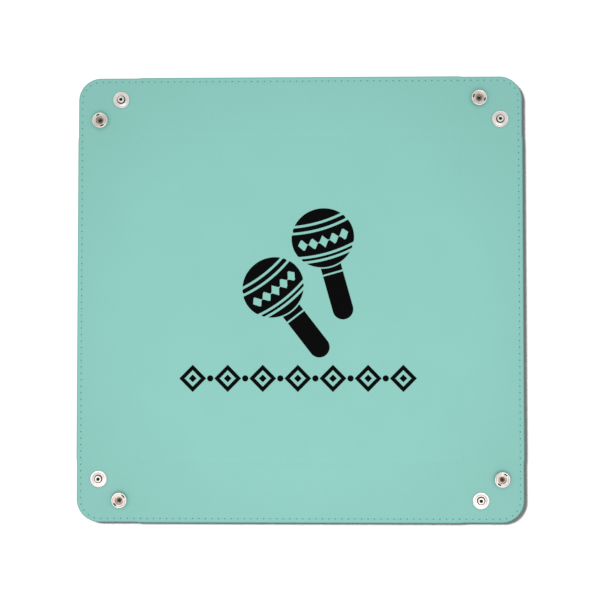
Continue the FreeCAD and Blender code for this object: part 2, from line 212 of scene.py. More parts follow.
def snap_swell(x, y):
    """The skin drawn down under each snap's rim and swollen round it."""
    rise = np.zeros(np.shape(x))
    for cx, cy in SNAPS.values():
        r = np.hypot(x - cx, y - cy)
        rise += SWELL * np.exp(-(((r - SWELL_RADIUS) / SWELL_WIDTH) ** 2))
        rise -= SINK * smooth((SINK_RADIUS - r) / SINK_WIDTH)
    return rise


def creases(x, y):
    """The fold lines: a soft dip where the skins run from board to board."""
    total = np.zeros(np.shape(x))
    for along, across in ((x, y), (y, x)):
        along, across = np.abs(along), np.abs(across)
        dip = np.exp(-(((across - CREASE) / CREASE_WIDTH) ** 2))
        total -= CREASE_DEPTH * dip * smooth((CREASE + 1 - along) / 3)
        outside = smooth((along - CREASE + 1) / 2)
        end = across - END_CREASE
        total -= END_CREASE_SHARE * CREASE_DEPTH * np.exp(-((end / CREASE_WIDTH) ** 2)) * outside
    return total


def rounding(d, radius=EDGE_ROUND):
    t = np.clip(1 - d / radius, 0, 1)
    return -radius * (1 - np.sqrt(1 - t**2))


def seam(x, y, d):
    """The groove the thread is pulled into, with its needle holes."""
    groove = -GROOVE_DEPTH * np.exp(-(((d - STITCH_INSET) / GROOVE_WIDTH) ** 2))
    return groove - HOLE_DEPTH * near_holes(x, y)


def top_face(x, y, d):
    return TOP + wave(x, y) + creases(x, y) + snap_swell(x, y) + rounding(d) + seam(x, y, d)


def lining_back(x, y, d):
    return TOP - SKIN + np.minimum(wave(x, y) + creases(x, y), 0) - HIDDEN_DROP


def board_distance(x, y):
    """Distance to the nearest board's plan."""
    far = np.full(np.shape(x), 1e3)
    slabs = [(BASE_BOARD_LOW, BASE_BOARD_HIGH)]
    slabs += [box_mm(f"{side}_wall_board") for side in SIDES]
    for low, high in slabs:
        dx = np.maximum(np.maximum(low[0] - x, x - high[0]), 0)
        dy = np.maximum(np.maximum(low[1] - y, y - high[1]), 0)
        far = np.minimum(far, np.hypot(dx, dy))
    return far


def pan_lift(x, y):
    """How far the outer skin is drawn up from the boards' undersides."""
    return RIM_FLOOR * smooth((board_distance(x, y) - PAN_START) / PAN_WIDTH)


def under_face(x, y, d):
    """The outer skin's underside: flat under the boards, drawn up to the seam between them."""
    return pan_lift(x, y) - np.minimum(0, seam(x, y, d)) - rounding(d)


def backing_top(x, y, d):
    return pan_lift(x, y) + SKIN - HIDDEN_DROP


# ---------------------------------------------------------------- meshes

# Millimetres in one unit of each UV map.
REST_SPAN = 250.0
HEM_SPAN = 10.0


def link(obj):
    bpy.context.scene.collection.objects.link(obj)
    return obj


def new_object(name, vertices, faces, materials, hem=None, smooth_angle=50):
    """A mesh in millimetres, with a UV map of its plan at rest so that its grain moves with it,
    and for a skin a second one whose u is the distance to the tray's edge."""
    mesh = bpy.data.meshes.new(name)
    mesh.from_pydata((np.asarray(vertices) * MM).tolist(), [], faces)
    for material in materials:
        mesh.materials.append(material)
    mesh.polygons.foreach_set("use_smooth", [True] * len(mesh.polygons))
    loops = np.empty(len(mesh.loops), int)
    mesh.loops.foreach_get("vertex_index", loops)
    flat = np.asarray(vertices)[:, :2]
    rest = (flat / REST_SPAN + 0.5)[loops]
    mesh.uv_layers.new(name="rest").data.foreach_set("uv", rest.ravel())
    if hem is not None:
        pairs = np.stack([hem / HEM_SPAN, 0 * hem], axis=1)
        mesh.uv_layers.new(name="hem").data.foreach_set("uv", pairs[loops].ravel())
    mesh.validate()
    mesh.update()
    mesh.set_sharp_from_angle(angle=math.radians(smooth_angle))
    return link(bpy.data.objects.new(name, mesh))


def grid_faces(rows, columns, start=0, flip=False):
    faces = []
    for i in range(rows - 1):
        for j in range(columns - 1):
            a = start + i * columns + j
            face = [a, a + 1, a + columns + 1, a + columns]
            faces.append(face[::-1] if flip else face)
    return faces


def rim(rows, columns):
    """The grid's outer vertices in order, rows outwards first."""
    first = [j for j in range(columns)]
    right = [i * columns + columns - 1 for i in range(1, rows)]
    last = [(rows - 1) * columns + j for j in range(columns - 2, -1, -1)]
    left = [i * columns for i in range(rows - 2, 0, -1)]
    return first + right + last + left


def skin(name, plan, low, high, materials):
    """A closed sheet over a plan grid of (x, y, distance to the edge)."""
    rows, columns = plan.shape[:2]
    x, y, d = plan[..., 0], plan[..., 1], plan[..., 2]
    upper = np.stack([x, y, high(x, y, d)], axis=-1).reshape(-1, 3)
    lower = np.stack([x, y, low(x, y, d)], axis=-1).reshape(-1, 3)
    a, b, c = upper[0], upper[1], upper[columns]
    flip = np.cross(b - a, c - a)[2] < 0
    count = rows * columns
    faces = grid_faces(rows, columns, 0, flip) + grid_faces(rows, columns, count, not flip)
    loop = rim(rows, columns)
    for i, j in zip(loop, loop[1:] + loop[:1]):
        side = [i, i + count, j + count, j]
        faces.append(side[::-1] if flip else side)
    hem = np.concatenate([d.ravel(), d.ravel()])
    return new_object(name, np.concatenate([upper, lower]), faces, materials, hem)


# ---------------------------------------------------------------- plan grids


def steps(*stretches):
    """Places along a line: (from, to, pitch) stretches joined end to end."""
    places = [np.array([stretches[0][0]])]
    for start, stop, pitch in stretches:
        count = max(1, round(abs(stop - start) / pitch))
        places.append(np.linspace(start, stop, count + 1)[1:])
    return np.concatenate(places)


# Distances from the edge at which the skins have a row of points, closest at the seam.
HEM_INSETS = [
    0, 0.02, 0.06, 0.12, 0.2, 0.3, 0.5, 0.9, 1.3, 1.6, 1.8, 1.95,
    2.1, 2.25, 2.4, 2.6, 2.9, 3.3, 3.8, 4.4, 5.1, HEM,
]
BASE_PITCH = 2.5
WALL_PITCH = 0.55
REACH_PITCH = 0.8
REACH = 8.0
CORNER_ROWS = 60
INNER_HEM = 40.0
JUST_PAST = 0.01


def wall_columns():
    count = (len(wall_holes()) - 1) * STITCH_STEPS
    return np.linspace(-1, 1, count + 1)


def base_plan():
    ticks = steps((-INNER_EDGE, INNER_EDGE, BASE_PITCH))
    x, y = np.meshgrid(ticks, ticks)
    return np.stack([x, y, np.full(x.shape, DEEP)], axis=-1)


def wall_plan(quarter):
    """From inside the base, where neighbours meet at a mitre, across the crease to the edge."""
    past = -CREASE - JUST_PAST
    reached = -EDGE + HEM + REACH
    rows = list(steps((-INNER_EDGE, -CREASE, WALL_PITCH))) + [past]
    rows += list(steps((past, reached, WALL_PITCH), (reached, -EDGE + HEM, REACH_PITCH)))[1:]
    rows += [-EDGE + inset for inset in reversed(HEM_INSETS[:-1])]
    rows = np.array(rows)
    reach = np.where(rows > past + JUST_PAST / 2, -rows, END_CREASE)
    x = wall_columns()[None, :] * reach[:, None]
    y = np.repeat(rows[:, None], x.shape[1], axis=1)
    plan = np.stack([x, y, EDGE + y], axis=-1)
    return turn(quarter, plan)


def corner_plan(quarter):
    """Between the base's corner and the tray's round corner; its middle column is the diagonal."""
    columns = (len(corner_holes()) - 1) * STITCH_STEPS
    hem = []
    for inset in HEM_INSETS:
        path, run = corner_path(inset)
        row = []
        for j in range(columns + 1):
            (px, py), (nx, ny) = path(run * j / columns)
            end = min(j, columns - j) / columns * run
            shrink = FLAP_SHRINK * smooth(end / SHRINK_RAMP) * smooth(1.2 - inset / HEM)
            row.append((px - nx * shrink, py - ny * shrink, inset))
        hem.append(row)
    hem = np.array(hem)
    inner = []
    for j in range(columns + 1):
        t = j / columns
        if t <= 0.5:
            inner.append((END_CREASE + (CREASE - END_CREASE) * t * 2, -CREASE, INNER_HEM))
        else:
            inner.append((CREASE, -CREASE + (CREASE - END_CREASE) * (t * 2 - 1), INNER_HEM))
    inner = np.array(inner)
    fill = [hem[-1] + (inner - hem[-1]) * t for t in np.linspace(0, 1, CORNER_ROWS + 1)[1:]]
    plan = np.concatenate([hem, np.array(fill)])
    return turn(quarter, plan)


# ---------------------------------------------------------------- materials

TEAL_LIGHT = (0.213, 0.514, 0.449)
TEAL_DARK = (0.205, 0.500, 0.436)
# Painted shade toward the four corners.
TEAL_CORNER_SHADE = (0.191, 0.462, 0.406)
# Painted shade along the rounded cut edge.
TEAL_EDGE_SHADE = (0.100, 0.330, 0.272)
THREAD_DARK = (0.196, 0.495, 0.432)
THREAD_LIGHT = (0.217, 0.527, 0.462)
# Painted shade inside the needle holes.
HOLE_SHADE_TONE = (0.06, 0.24, 0.20)
INK_DARK = (0.0008, 0.0008, 0.001)
INK_WORN = (0.002, 0.0022, 0.0022)
PULP_DARK = (0.30, 0.28, 0.25)
PULP_LIGHT = (0.42, 0.40, 0.37)
CORNER_SHADE_FROM_TO = (0.36, 0.60)
EDGE_SHADE_FROM_TO = (0.015, 0.065)


def new_material(name):
    material = bpy.data.materials.new(name)
    material.use_nodes = True
    nodes, links = material.node_tree.nodes, material.node_tree.links
    return material, nodes, links, nodes["Principled BSDF"]


def rest_places(nodes, links, scale=REST_SPAN):
    """Plan positions at rest, in millimetres."""
    uv = nodes.new("ShaderNodeUVMap")
    uv.uv_map = "rest"
    mapping = nodes.new("ShaderNodeMapping")
    mapping.inputs["Scale"].default_value = (scale, scale, scale)
    links.new(uv.outputs["UV"], mapping.inputs["Vector"])
    return mapping.outputs["Vector"]


def noise_at(nodes, links, places, scale, detail=2.0, roughness=0.5):
    node = nodes.new("ShaderNodeTexNoise")
    node.inputs["Scale"].default_value = scale
    node.inputs["Detail"].default_value = detail
    node.inputs["Roughness"].default_value = roughness
    links.new(places, node.inputs["Vector"])
    return node.outputs["Fac"]


def stretch(nodes, links, value, low, high, from_low=0.3, from_high=0.7):
    node = nodes.new("ShaderNodeMapRange")
    node.inputs["From Min"].default_value = from_low
    node.inputs["From Max"].default_value = from_high
    node.inputs["To Min"].default_value = low
    node.inputs["To Max"].default_value = high
    links.new(value, node.inputs["Value"])
    return node.outputs["Result"]


def mix_colours(nodes, links, factor, first, second):
    node = nodes.new("ShaderNodeMix")
    node.data_type = "RGBA"
    node.inputs["A"].default_value = (*first, 1)
    node.inputs["B"].default_value = (*second, 1)
    links.new(factor, node.inputs["Factor"])
    return node.outputs["Result"]


def add_bump(nodes, links, shader, height, strength, distance=0.0001):
    """Fine relief in the shading, its distance in metres."""
    bump = nodes.new("ShaderNodeBump")
    bump.inputs["Strength"].default_value = strength
    bump.inputs["Distance"].default_value = distance
    links.new(height, bump.inputs["Height"])
    links.new(bump.outputs["Normal"], shader.inputs["Normal"])


def darken_where(nodes, links, colour, factor, tint):
    """The colour, going over to a darker tint where the factor is 1."""
    mix = nodes.new("ShaderNodeMix")
    mix.data_type = "RGBA"
    mix.inputs["B"].default_value = (*tint, 1)
    links.new(colour, mix.inputs["A"])
    links.new(factor, mix.inputs["Factor"])
    return mix.outputs["Result"]


def painted_corner_shade(nodes, links, colour):
    """A slightly deeper tone toward the four corners, which curl a little: painted shade there."""
    uv = nodes.new("ShaderNodeUVMap")
    uv.uv_map = "rest"
    away = nodes.new("ShaderNodeVectorMath")
    away.operation = "DISTANCE"
    away.inputs[1].default_value = (0.5, 0.5, 0)
    links.new(uv.outputs["UV"], away.inputs[0])
    far = stretch(nodes, links, away.outputs["Value"], 0.0, 1.0, *CORNER_SHADE_FROM_TO)
    return darken_where(nodes, links, colour, far, TEAL_CORNER_SHADE)


def painted_edge_shade(nodes, links, colour):
    """Painted shade: darkens the last half millimetre before the tray's cut edge, where it rounds
    away from the light.
    """
    uv = nodes.new("ShaderNodeUVMap")
    uv.uv_map = "hem"
    split = nodes.new("ShaderNodeSeparateXYZ")
    links.new(uv.outputs["UV"], split.inputs["Vector"])
    near = stretch(nodes, links, split.outputs["X"], 1.0, 0.0, *EDGE_SHADE_FROM_TO)
    return darken_where(nodes, links, colour, near, TEAL_EDGE_SHADE)


def leatherette(name, light, dark, grain_strength):
    """Coated fabric with a fine pebble grain, faint clouding and uneven gloss."""
    material, nodes, links, shader = new_material(name)
    places = rest_places(nodes, links)
    clouds = noise_at(nodes, links, places, 0.035, 3.0)
    speck = noise_at(nodes, links, places, 1.3, 2.0)
    blend = nodes.new("ShaderNodeMath")
    blend.operation = "MULTIPLY_ADD"
    links.new(speck, blend.inputs[0])
    blend.inputs[1].default_value = 0.25
    links.new(stretch(nodes, links, clouds, 0.0, 0.75), blend.inputs[2])
    colour = mix_colours(nodes, links, blend.outputs[0], light, dark)
    # Painted shade toward the four corners.
    colour = painted_corner_shade(nodes, links, colour)
    # Painted shade along the rounded cut edge.
    links.new(painted_edge_shade(nodes, links, colour), shader.inputs["Base Color"])
    gloss = noise_at(nodes, links, places, 0.09, 4.0)
    links.new(stretch(nodes, links, gloss, 0.50, 0.62), shader.inputs["Roughness"])
    shader.inputs["Specular IOR Level"].default_value = 0.35
    shader.inputs["Sheen Weight"].default_value = 0.05
    pebble = nodes.new("ShaderNodeTexVoronoi")
    pebble.feature = "SMOOTH_F1"
    pebble.inputs["Scale"].default_value = 2.2
    pebble.inputs["Smoothness"].default_value = 0.6
    links.new(places, pebble.inputs["Vector"])
    fine = noise_at(nodes, links, places, 7.0, 3.0)
    height = nodes.new("ShaderNodeMath")
    height.operation = "MULTIPLY_ADD"
    links.new(fine, height.inputs[0])
    height.inputs[1].default_value = 0.35
    links.new(pebble.outputs["Distance"], height.inputs[2])
    add_bump(nodes, links, shader, height.outputs[0], grain_strength, 0.00012)
    return material


def ink():
    material, nodes, links, shader = new_material("ink")
    places = rest_places(nodes, links)
    worn = noise_at(nodes, links, places, 1.8, 3.0)
    colour = mix_colours(nodes, links, stretch(nodes, links, worn, 0, 1), INK_DARK, INK_WORN)
    links.new(colour, shader.inputs["Base Color"])
    links.new(stretch(nodes, links, worn, 0.55, 0.68), shader.inputs["Roughness"])
    shader.inputs["Specular IOR Level"].default_value = 0.03
    add_bump(nodes, links, shader, noise_at(nodes, links, places, 2.2, 2.0), 0.2)
    return material


def thread_material():
    material, nodes, links, shader = new_material("sewing_thread")
    places = rest_places(nodes, links)
    twist = nodes.new("ShaderNodeTexWave")
    twist.bands_direction = "DIAGONAL"
    twist.inputs["Scale"].default_value = 1.4
    twist.inputs["Distortion"].default_value = 0.6
    links.new(places, twist.inputs["Vector"])
    colour = mix_colours(nodes, links, twist.outputs["Fac"], THREAD_DARK, THREAD_LIGHT)
    links.new(colour, shader.inputs["Base Color"])
    shader.inputs["Roughness"].default_value = 0.62
    shader.inputs["Sheen Weight"].default_value = 0.3
    add_bump(nodes, links, shader, twist.outputs["Fac"], 0.5)
    return material


def needle_hole():
    # The dark tone is painted shade inside the hole.
    material, _, _, shader = new_material("needle_hole")
    shader.inputs["Base Color"].default_value = (*HOLE_SHADE_TONE, 1)
    shader.inputs["Roughness"].default_value = 0.9
    shader.inputs["Specular IOR Level"].default_value = 0.1
    return material


def metal(name, colour, dull, roughness):
    """Plated pressed metal with fine tool marks and a little tarnish."""
    material, nodes, links, shader = new_material(name)
    texture = nodes.new("ShaderNodeTexCoord")
    marks = nodes.new("ShaderNodeTexNoise")
    marks.inputs["Scale"].default_value = 900.0
    marks.inputs["Detail"].default_value = 4.0
    links.new(texture.outputs["Object"], marks.inputs["Vector"])
    tarnish = nodes.new("ShaderNodeTexNoise")
    tarnish.inputs["Scale"].default_value = 240.0
    links.new(texture.outputs["Object"], tarnish.inputs["Vector"])
    mixed = mix_colours(
        nodes, links, stretch(nodes, links, tarnish.outputs["Fac"], 0, 1), colour, dull
    )
    links.new(mixed, shader.inputs["Base Color"])
    shader.inputs["Metallic"].default_value = 1.0
    links.new(
        stretch(nodes, links, marks.outputs["Fac"], roughness - 0.05, roughness + 0.08),
        shader.inputs["Roughness"],
    )
    add_bump(nodes, links, shader, marks.outputs["Fac"], 0.15, 0.00005)
    return material


def cardboard():
    material, nodes, links, shader = new_material("greyboard")
    texture = nodes.new("ShaderNodeTexCoord")
    pulp = nodes.new("ShaderNodeTexNoise")
    pulp.inputs["Scale"].default_value = 600.0
    pulp.inputs["Detail"].default_value = 5.0
    links.new(texture.outputs["Object"], pulp.inputs["Vector"])
    links.new(
        mix_colours(nodes, links, pulp.outputs["Fac"], PULP_DARK, PULP_LIGHT),
        shader.inputs["Base Color"],
    )
    shader.inputs["Roughness"].default_value = 0.9
    return material


LINING = leatherette("lining_leatherette", TEAL_LIGHT, TEAL_DARK, 0.25)
BACKING = leatherette("backing_leatherette", TEAL_LIGHT, TEAL_DARK, 0.35)
INK = ink()
THREAD = thread_material()
HOLE = needle_hole()
STUD_METAL = metal("stud_nickel", (0.76, 0.73, 0.70), (0.66, 0.62, 0.585), 0.34)
SOCKET_METAL = metal("socket_nickel", (0.86, 0.84, 0.81), (0.70, 0.67, 0.63), 0.26)
CAP_METAL = metal("cap_nickel", (0.80, 0.80, 0.81), (0.72, 0.72, 0.73), 0.16)
POST_METAL = metal("post_nickel", (0.22, 0.17, 0.13), (0.12, 0.09, 0.07), 0.40)
RECESS_METAL = metal("socket_recess", (0.66, 0.61, 0.55), (0.52, 0.47, 0.41), 0.42)
# Painted shade for the snaps' grooves, notches and bores.
PAINTED_SHADE_METAL = metal("shadowed_metal", (0.05, 0.045, 0.04), (0.02, 0.018, 0.015), 0.55)
SPRING_METAL = metal("spring_wire", (0.55, 0.53, 0.50), (0.45, 0.42, 0.38), 0.25)
BOARD = cardboard()


# ---------------------------------------------------------------- stitches


def capsule(length, width, height, rings=9, sides=8):
    """A stitch lying along +X: a thread drawn over the seam, sinking at both ends."""
    blunt, thinnest, sink = 3.2, 0.25, 0.32
    vertices = []
    for i in range(rings):
        t = i / (rings - 1) * 2 - 1
        swell = max(math.sqrt(max(0.0, 1 - abs(t) ** blunt)), thinnest)
        drop = -sink * abs(t) ** 4
        for j in range(sides):
            angle = 2 * math.pi * j / sides
            vertices.append(
                (
                    t * length / 2,
                    width / 2 * swell * math.cos(angle),
                    drop + height / 2 * swell * math.sin(angle),
                )
            )
    faces = []
    for i in range(rings - 1):
        for j in range(sides):
            a, b = i * sides + j, i * sides + (j + 1) % sides
            faces.append([a, a + sides, b + sides, b])
    faces.append(list(range(sides)))
    faces.append([(rings - 1) * sides + j for j in reversed(range(sides))])
    return np.array(vertices), faces


STITCH_GAP = 0.6
THREAD_WIDTH = 0.55
THREAD_HEIGHT = 0.30
STITCH, STITCH_FACES = capsule(STITCH_PITCH - STITCH_GAP, THREAD_WIDTH, THREAD_HEIGHT)
STITCH_SINK = 0.03
HOLE_RADIUS = 0.32
HOLE_SIDES = 12
HOLE_LEVEL = 0.10
HOLE_ABOVE = 0.03
HOLE_BELOW = 0.06


def hole_discs(vertices, faces, holes, quarter):
    """Needle holes: thin dark discs in the dimples between the stitches, painted shade for the
    inside of each hole.
    """
    angles = np.arange(HOLE_SIDES) * 2 * math.pi / HOLE_SIDES
    for place in turn(quarter, holes):
        for level, up in ((TOP - HOLE_LEVEL, 1), (RIM_FLOOR + HOLE_LEVEL, -1)):
            start = len(vertices)
            for offset in (HOLE_ABOVE * up, -HOLE_BELOW * up):
                for angle in angles:
                    vertices.append(
                        (
                            place[0] + HOLE_RADIUS * math.cos(angle),
                            place[1] + HOLE_RADIUS * math.sin(angle),
                            level + offset,
                        )
                    )
            n = HOLE_SIDES
            upper, lower = range(start, start + n), range(start + n, start + 2 * n)
            after = [(i + 1) % n for i in range(n)]
            walls = [[upper[i], lower[i], lower[j], upper[j]] for i, j in enumerate(after)]
            discs = [list(upper), list(reversed(lower))] + walls
            faces += [face[::-1] for face in discs] if up < 0 else discs


def stitch_run(name, holes, quarter):
    """A stitch between each hole and the next, over the lining and under the backing."""
    vertices, faces = [], []
    for (ax, ay), (bx, by) in zip(holes, holes[1:]):
        heading = math.atan2(by - ay, bx - ax)
        share = math.hypot(bx - ax, by - ay) / STITCH_PITCH
        middle = turn(quarter, [((ax + bx) / 2, (ay + by) / 2)])[0]
        heading += quarter * math.pi / 2
        cos, sin = math.cos(heading), math.sin(heading)
        for sign in (1, -1):
            level = TOP - STITCH_SINK if sign > 0 else RIM_FLOOR + STITCH_SINK
            piece = STITCH * (share, 1, sign)
            moved = np.stack(
                [
                    middle[0] + piece[:, 0] * cos - piece[:, 1] * sin,
                    middle[1] + piece[:, 0] * sin + piece[:, 1] * cos,
                    level + piece[:, 2],
                ],
                axis=1,
            )
            start = len(vertices) * len(STITCH)
            vertices.append(moved)
            for face in STITCH_FACES:
                shifted = [start + v for v in face]
                faces.append(shifted[::-1] if sign < 0 else shifted)
    vertices = [tuple(v) for v in np.concatenate(vertices)]
    sewn = len(faces)
    hole_discs(vertices, faces, holes[:-1], quarter)
    obj = new_object(name, vertices, faces, [THREAD, HOLE], smooth_angle=70)
    for polygon in obj.data.polygons[sewn:]:
        polygon.material_index = 1
    return obj


# ---------------------------------------------------------------- snap hardware


def soften(profile, steps_each=4):
    """A profile of (radius, height, rounding) with its corners rounded."""
    points = []
    count = len(profile)
    for i, (r, z, soft) in enumerate(profile):
        here = np.array([r, z])
        before = np.array(profile[i - 1][:2])
        after = np.array(profile[(i + 1) % count][:2])
        if soft <= 0:
            points.append(here)
            continue
        to_before, to_after = before - here, after - here
        reach_before = min(soft, 0.48 * np.linalg.norm(to_before))
        reach_after = min(soft, 0.48 * np.linalg.norm(to_after))
        a = here + to_before / np.linalg.norm(to_before) * reach_before
        b = here + to_after / np.linalg.norm(to_after) * reach_after
        for k in range(steps_each + 1):
            t = k / steps_each
            points.append((1 - t) ** 2 * a + 2 * t * (1 - t) * here + t**2 * b)
    return np.array(points)


def lathe(profile, segments=96, notch=None):
    """A closed turned shell from a closed profile that keeps clear of the axis, or touches it
    at its first and last points."""
    points = soften(profile)
    angles = np.arange(segments) * 2 * math.pi / segments
    on_axis = points[0][0] < 1e-6
    vertices, faces = [], []
    ring = points[1:-1] if on_axis else points
    for angle in angles:
        for r, z in ring:
            if notch:
                z = notch(angle, r, z)
            vertices.append((r * math.cos(angle), r * math.sin(angle), z))
    n = len(ring)
    for i in range(segments):
        j = (i + 1) % segments
        for k in range(n if not on_axis else n - 1):
            m = (k + 1) % n
            faces.append([i * n + k, j * n + k, j * n + m, i * n + m])
    if on_axis:
        first, last = len(vertices), len(vertices) + 1
        vertices += [(0, 0, points[0][1]), (0, 0, points[-1][1])]
        for i in range(segments):
            j = (i + 1) % segments
            faces.append([first, j * n, i * n])
            faces.append([last, i * n + n - 1, j * n + n - 1])
    return np.array(vertices), faces


STUD_PROFILE = [
    (1.10, 0.00, 0), (4.10, 0.00, 0.1), (4.30, 0.22, 0.25), (4.08, 0.42, 0.2),
    (3.60, 0.34, 0.3), (3.05, 0.40, 0.2), (2.78, 0.68, 0.25), (2.20, 0.66, 0.3),
    (1.52, 0.95, 0.25), (1.50, 1.45, 0.2), (1.75, 1.75, 0.2), (1.75, 2.15, 0.25),
    (1.48, 2.40, 0.2), (0.84, 2.34, 0.15), (0.80, 2.05, 0.1), (1.40, 1.95, 0.1),
    (1.42, 1.75, 0.1), (1.20, 1.45, 0.1), (1.20, 0.95, 0.1), (1.50, 0.80, 0.1),
    (1.50, 0.42, 0), (1.10, 0.42, 0),
]
SOCKET_PROFILE = [
    (1.10, 0.00, 0), (3.75, 0.00, 0.1), (4.00, 0.25, 0.2), (4.00, 2.25, 0.35),
    (3.72, 2.60, 0.25), (3.38, 2.58, 0.15), (3.14, 2.22, 0.15), (2.60, 2.25, 0.3),
    (2.16, 2.22, 0.15), (2.05, 2.05, 0.1), (2.05, 1.85, 0.05), (3.60, 1.85, 0.05),
    (3.60, 0.42, 0.1), (1.10, 0.42, 0),
]
CAP_PROFILE = [
    (0.0, -1.45, 0), (2.6, -1.34, 1.2), (4.3, -0.98, 0.9), (5.0, -0.45, 0.3),
    (5.0, -0.05, 0.15), (4.65, -0.02, 0.1), (4.62, -0.40, 0.2), (1.0, -1.0, 0.3),
    (1.0, 1.98, 0), (1.4, 2.0, 0.1), (1.4, 2.28, 0.15), (0.95, 2.34, 0.1),
    (0.62, 2.2, 0.1), (0.62, 1.70, 0.05), (0.0, 1.66, 0),
]
NOTCH_HALF = 0.75
NOTCH_RING = (2.72, 3.36)
NOTCH_FLOOR = 1.86
WIRE_HALF = 2.55
WIRE_ASIDE = 2.1
WIRE_LEVEL = 1.6
WIRE_RADIUS = 0.2


def socket_notch(angle, r, z):
    """Lowers the rim where the spring's ends show, at two opposite places."""
    aside = abs(r * math.sin(angle))
    if NOTCH_RING[0] < r < NOTCH_RING[1] and z > NOTCH_FLOOR and aside < NOTCH_HALF:
        return NOTCH_FLOOR + 0.1 * (z - NOTCH_FLOOR)
    return z


def rod(a, b, radius, sides=12):
    a, b = np.array(a, float), np.array(b, float)
    along = (b - a) / np.linalg.norm(b - a)
    aside = np.cross(along, (0, 0, 1.0))
    up = np.cross(aside, along)
    vertices = []
    for end in (a, b):
        for j in range(sides):
            angle = 2 * math.pi * j / sides
            vertices.append(end + radius * (math.cos(angle) * aside + math.sin(angle) * up))
    faces = [[j, (j + 1) % sides, sides + (j + 1) % sides, sides + j] for j in range(sides)]
    faces += [list(reversed(range(sides))), [sides + j for j in range(sides)]]
    return np.array(vertices), faces


def turned_part(name, profile, place, level, heading, material, notch=None, inner=None, cut=None):
    vertices, faces = lathe(profile, notch=notch)
    materials = [material, *(inner or ())]
    obj = new_object(name, vertices, faces, materials, smooth_angle=40)
    for polygon in obj.data.polygons if inner else ():
        polygon.material_index = cut(polygon.center / MM)
    obj.matrix_world = Matrix.Translation(
        Vector((place[0] * MM, place[1] * MM, level * MM))
    ) @ Matrix.Rotation(heading, 4, "Z")
    return obj


# Degrees each corner's snaps are turned, beyond the corner's own quarter turn.
SNAP_TURN = (57, 72, 112, -45)
# Radii, and one height, at which a snap's metal changes.
STUD_BORE = 0.86
STUD_GROOVE = (1.45, 2.16)
STUD_NECK_TOP = 1.3
SOCKET_RECESS = 3.3
SOCKET_NOTCH = (2.6, 3.4)
POST_BORE = 0.66
POST_OUTSIDE = 1.5


def stud_metals(p):
    """0 for the bright outside, 1 for painted shade: the groove round the neck and the inside of
    the head.
    """
    r = math.hypot(p.x, p.y)
    groove = STUD_GROOVE[0] < r < STUD_GROOVE[1] and p.z < STUD_NECK_TOP
    return int(p.z > 0.3 and (r < STUD_BORE or groove))


def socket_metals(p):
    """0 for the rim, 1 for the recess, 2 for painted shade in the notches and the cavity."""
    r = math.hypot(p.x, p.y)
    in_ring = p.z > 1.2 and SOCKET_NOTCH[0] < r < SOCKET_NOTCH[1]
    if in_ring and abs(p.y) < NOTCH_HALF + 0.05:
        return 2
    return int(r < SOCKET_RECESS)


def cap_metals(p):
    """0 for the dome, 1 for the post's flare, 2 for painted shade in its bore."""
    r = math.hypot(p.x, p.y)
    if r < POST_BORE and p.z > 0:
        return 2
    return int(r < POST_OUTSIDE and p.z > -0.9)


def make_snaps(quarter, corner):
    for part, flap in (("stud", "stud_flap"), ("socket", "socket_flap")):
        body = f"{corner}_{flap}"
        place = SNAPS[corner, part]
        heading = math.radians(SNAP_TURN[quarter] + 90 * quarter)
        if part == "stud":
            obj = turned_part(
                f"{corner}_stud_shell", STUD_PROFILE, place, TOP, heading, STUD_METAL,
                inner=(PAINTED_SHADE_METAL,), cut=stud_metals,
            )
        else:
            obj = turned_part(
                f"{corner}_socket_shell", SOCKET_PROFILE, place, TOP, heading, SOCKET_METAL,
                notch=socket_notch, inner=(RECESS_METAL, PAINTED_SHADE_METAL), cut=socket_metals,
            )
            for number, side in ((1, 1), (2, -1)):
                start = (-WIRE_HALF, side * WIRE_ASIDE, WIRE_LEVEL)
                end = (WIRE_HALF, side * WIRE_ASIDE, WIRE_LEVEL)
                vertices, faces = rod(start, end, WIRE_RADIUS)
                wire = new_object(f"{corner}_spring_{number}", vertices, faces, [SPRING_METAL])
                wire.matrix_world = obj.matrix_world.copy()
                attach(wire, body)
        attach(obj, body)
        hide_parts(f"{corner}_{part}")
        cap = turned_part(
            f"{corner}_{part}_rivet", CAP_PROFILE, place, RIM_FLOOR, heading, CAP_METAL,
            inner=(POST_METAL, PAINTED_SHADE_METAL), cut=cap_metals,
        )
        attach(cap, body)
        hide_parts(f"{corner}_{part}_cap")


# ---------------------------------------------------------------- printed decoration

INK_ABOVE = 0.025
INK_BELOW = 0.01
INK_ROWS = 5
# Added to an outline, so that a strip's tip doesn't close to nothing.
SLIVER = 0.001
THINNEST_INK = 0.02


def ink_strip(parts, along, low, high, place):
    """Adds a flat patch between two curves: along is u, low and high are v at each u."""
    vertices, faces = parts
    rows, columns = INK_ROWS, len(along)
    start = len(vertices)
    upper = []
    for i in range(rows):
        t = i / (rows - 1)
        for u, a, b in zip(along, low, high):
            upper.append(place(u, a + (b - a) * t))
    upper = np.array(upper)
    z = top_face(upper[:, 0], upper[:, 1], np.full(len(upper), DEEP))
    for offset in (INK_ABOVE, -INK_BELOW):
        vertices += [(x, y, h + offset) for (x, y), h in zip(upper, z)]
    count = rows * columns
    a, b, c = (np.array(vertices[start + k]) for k in (0, 1, columns))
    flip = np.cross(b - a, c - a)[2] < 0
    faces += grid_faces(rows, columns, start, flip)
    faces += grid_faces(rows, columns, start + count, not flip)
    loop = rim(rows, columns)
    for i, j in zip(loop, loop[1:] + loop[:1]):
        side = [start + i, start + i + count, start + j + count, start + j]
        faces.append(side[::-1] if flip else side)


def frame_at(cx, cy, degrees):
    """Places (u, v) with +v along the direction the handle points."""
    angle = math.radians(degrees)
    along = (math.sin(angle), -math.cos(angle))
    aside = (math.cos(angle), math.sin(angle))
    return lambda u, v: (cx + u * aside[0] + v * along[0], cy + u * aside[1] + v * along[1])


